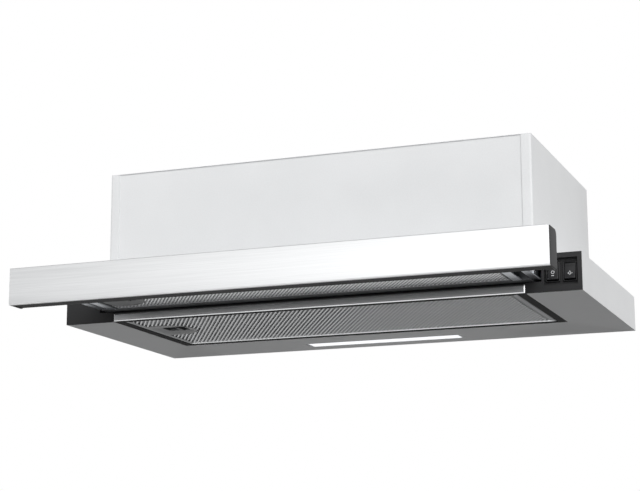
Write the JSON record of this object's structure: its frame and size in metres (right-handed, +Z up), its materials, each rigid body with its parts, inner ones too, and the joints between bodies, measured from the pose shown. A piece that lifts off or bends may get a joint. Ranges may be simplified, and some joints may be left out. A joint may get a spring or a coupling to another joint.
{
  "type": "range hood",
  "caption": "Built-in slide-out cooker hood with a steel-fronted visor on ball runners, tilting grease filters, lit underside, rocker switches and a top duct collar.",
  "frame": {"origin": "centre of the four cabinet screw holes, on the top face of the lower body's ledge, which bears against the underside of the wall cabinet", "axes": "+Z up into the cabinet, +Y back to the wall, +X to the right of a person facing the hood; the visor pulls out along -Y"},
  "size_m": [0.6, 0.4161, 0.2015],
  "materials": {
    "casing_paint": "satin",
    "skin_steel": "brushed",
    "trim_steel": "brushed",
    "zinc_sheet": "matt",
    "runner_steel": "bright zinc",
    "screw_steel": "bright zinc",
    "black_plastic": "moulded",
    "cap_plastic": "moulded",
    "flap_plastic": "moulded",
    "filter_aluminium": "matt",
    "mesh_aluminium": "expanded mesh",
    "handle_plastic": "moulded",
    "latch_plastic": "moulded",
    "blower_plastic": "moulded",
    "motor_aluminium": "cast",
    "capacitor_white": "moulded",
    "box_white": "moulded",
    "gland_black": "moulded",
    "board_white": "solder resist",
    "lens_clear": "frosted",
    "switch_black": "moulded",
    "key_black": "satin"
  },
  "bodies": {
    "hood": {"base_pan": "casing_paint", "fascia_left": "black_plastic", "fascia_right": "black_plastic", "front_trim": "trim_steel", "filter_surround": "black_plastic", "casing_shell": "casing_paint", "casing_front": "casing_paint", "duct_collar": "black_plastic", "runner_bracket_left": "zinc_sheet", "runner_bracket_right": "zinc_sheet", "runner_left_fixed": "runner_steel", "runner_right_fixed": "runner_steel", "scroll_left": "blower_plastic", "scroll_right": "blower_plastic", "motor_housing": "motor_aluminium", "motor_bracket": "zinc_sheet", "capacitor": "capacitor_white", "capacitor_clip": "zinc_sheet", "terminal_box": "box_white", "terminal_box_lid": "box_white", "cable_gland": "gland_black", "lamp_housing": "zinc_sheet", "led_board": "board_white", "lamp_lens": "lens_clear", "led_driver": "box_white", "fan_switch_body": "switch_black", "light_switch_body": "switch_black", "body_screws": "screw_steel", "collar_screws": "screw_steel", "bracket_screws": "screw_steel"},
    "visor": {"runner_left_moving": "runner_steel", "runner_right_moving": "runner_steel", "front_panel": "skin_steel", "panel_carrier": "black_plastic", "end_cap_left": "cap_plastic", "end_cap_right": "cap_plastic", "visor_arm_left": "runner_steel", "visor_arm_right": "runner_steel", "visor_front_bar": "black_plastic", "visor_crossbar": "black_plastic", "visor_cover": "zinc_sheet", "panel_screws": "screw_steel", "runner_screws": "screw_steel"},
    "cage_left": {"ball_cage_left": "runner_steel"},
    "cage_right": {"ball_cage_right": "runner_steel"},
    "visor_filter": {"visor_filter_frame": "filter_aluminium", "visor_filter_mesh": "mesh_aluminium", "visor_filter_handle": "handle_plastic"},
    "visor_latch": {"visor_filter_latch": "latch_plastic"},
    "main_filter": {"main_filter_frame": "filter_aluminium", "main_filter_mesh": "mesh_aluminium", "main_filter_handle": "handle_plastic"},
    "main_latch": {"main_filter_latch": "latch_plastic"},
    "rotor": {"impeller": "blower_plastic", "motor_shaft": "screw_steel"},
    "left_flap": {"flap_left": "flap_plastic"},
    "right_flap": {"flap_right": "flap_plastic"},
    "fan_key": {"fan_rocker": "key_black"},
    "light_key": {"light_rocker": "key_black"}
  },
  "joints": [
    {"name": "visor_slide", "type": "slide", "parent": "hood", "child": "visor", "axis": [0, -1, 0], "range_m": [-0.1005, 0]},
    {"name": "cage_left_slide", "type": "slide", "parent": "hood", "child": "cage_left", "axis": [0, -1, 0], "range_m": [-0.0503, 0]},
    {"name": "cage_right_slide", "type": "slide", "parent": "hood", "child": "cage_right", "axis": [0, -1, 0], "range_m": [-0.0503, 0]},
    {"name": "visor_filter_tilt", "type": "hinge", "parent": "visor", "child": "visor_filter", "pos_m": [0.2279, -0.2025, -0.0265], "axis": [0, -1, 0], "range_deg": [0, 60]},
    {"name": "visor_latch_slide", "type": "slide", "parent": "visor_filter", "child": "visor_latch", "axis": [1, 0, 0], "range_m": [0, 0.005], "stiffness_N_per_m": 400, "springref_m": -0.004},
    {"name": "main_filter_tilt", "type": "hinge", "parent": "hood", "child": "main_filter", "pos_m": [0.2279, -0.063, -0.0382], "axis": [0, -1, 0], "range_deg": [0, 75]},
    {"name": "main_latch_slide", "type": "slide", "parent": "main_filter", "child": "main_latch", "axis": [1, 0, 0], "range_m": [0, 0.005], "stiffness_N_per_m": 400, "springref_m": -0.004},
    {"name": "rotor_spin", "type": "hinge", "parent": "hood", "child": "rotor", "pos_m": [0, -0.003, 0.0626], "axis": [1, 0, 0], "continuous": true},
    {"name": "left_flap_swing", "type": "hinge", "parent": "hood", "child": "left_flap", "pos_m": [-0.0022, 0.04441, 0.1451], "axis": [0, 1, 0], "range_deg": [0, 80]},
    {"name": "right_flap_swing", "type": "hinge", "parent": "hood", "child": "right_flap", "pos_m": [0.0022, 0.04441, 0.1451], "axis": [0, -1, 0], "range_deg": [0, 80]},
    {"name": "fan_rocker_swing", "type": "hinge", "parent": "hood", "child": "fan_key", "pos_m": [0.2688, -0.1385, -0.01955], "axis": [1, 0, 0], "range_deg": [0, 16]},
    {"name": "light_rocker_swing", "type": "hinge", "parent": "hood", "child": "light_key", "pos_m": [0.2868, -0.1385, -0.01955], "axis": [1, 0, 0], "range_deg": [0, 16]}
  ],
  "couplings": [
    {"joint": "cage_left_slide", "follows": "visor_slide", "ratio": 0.5},
    {"joint": "cage_right_slide", "follows": "visor_slide", "ratio": 0.5}
  ]
}
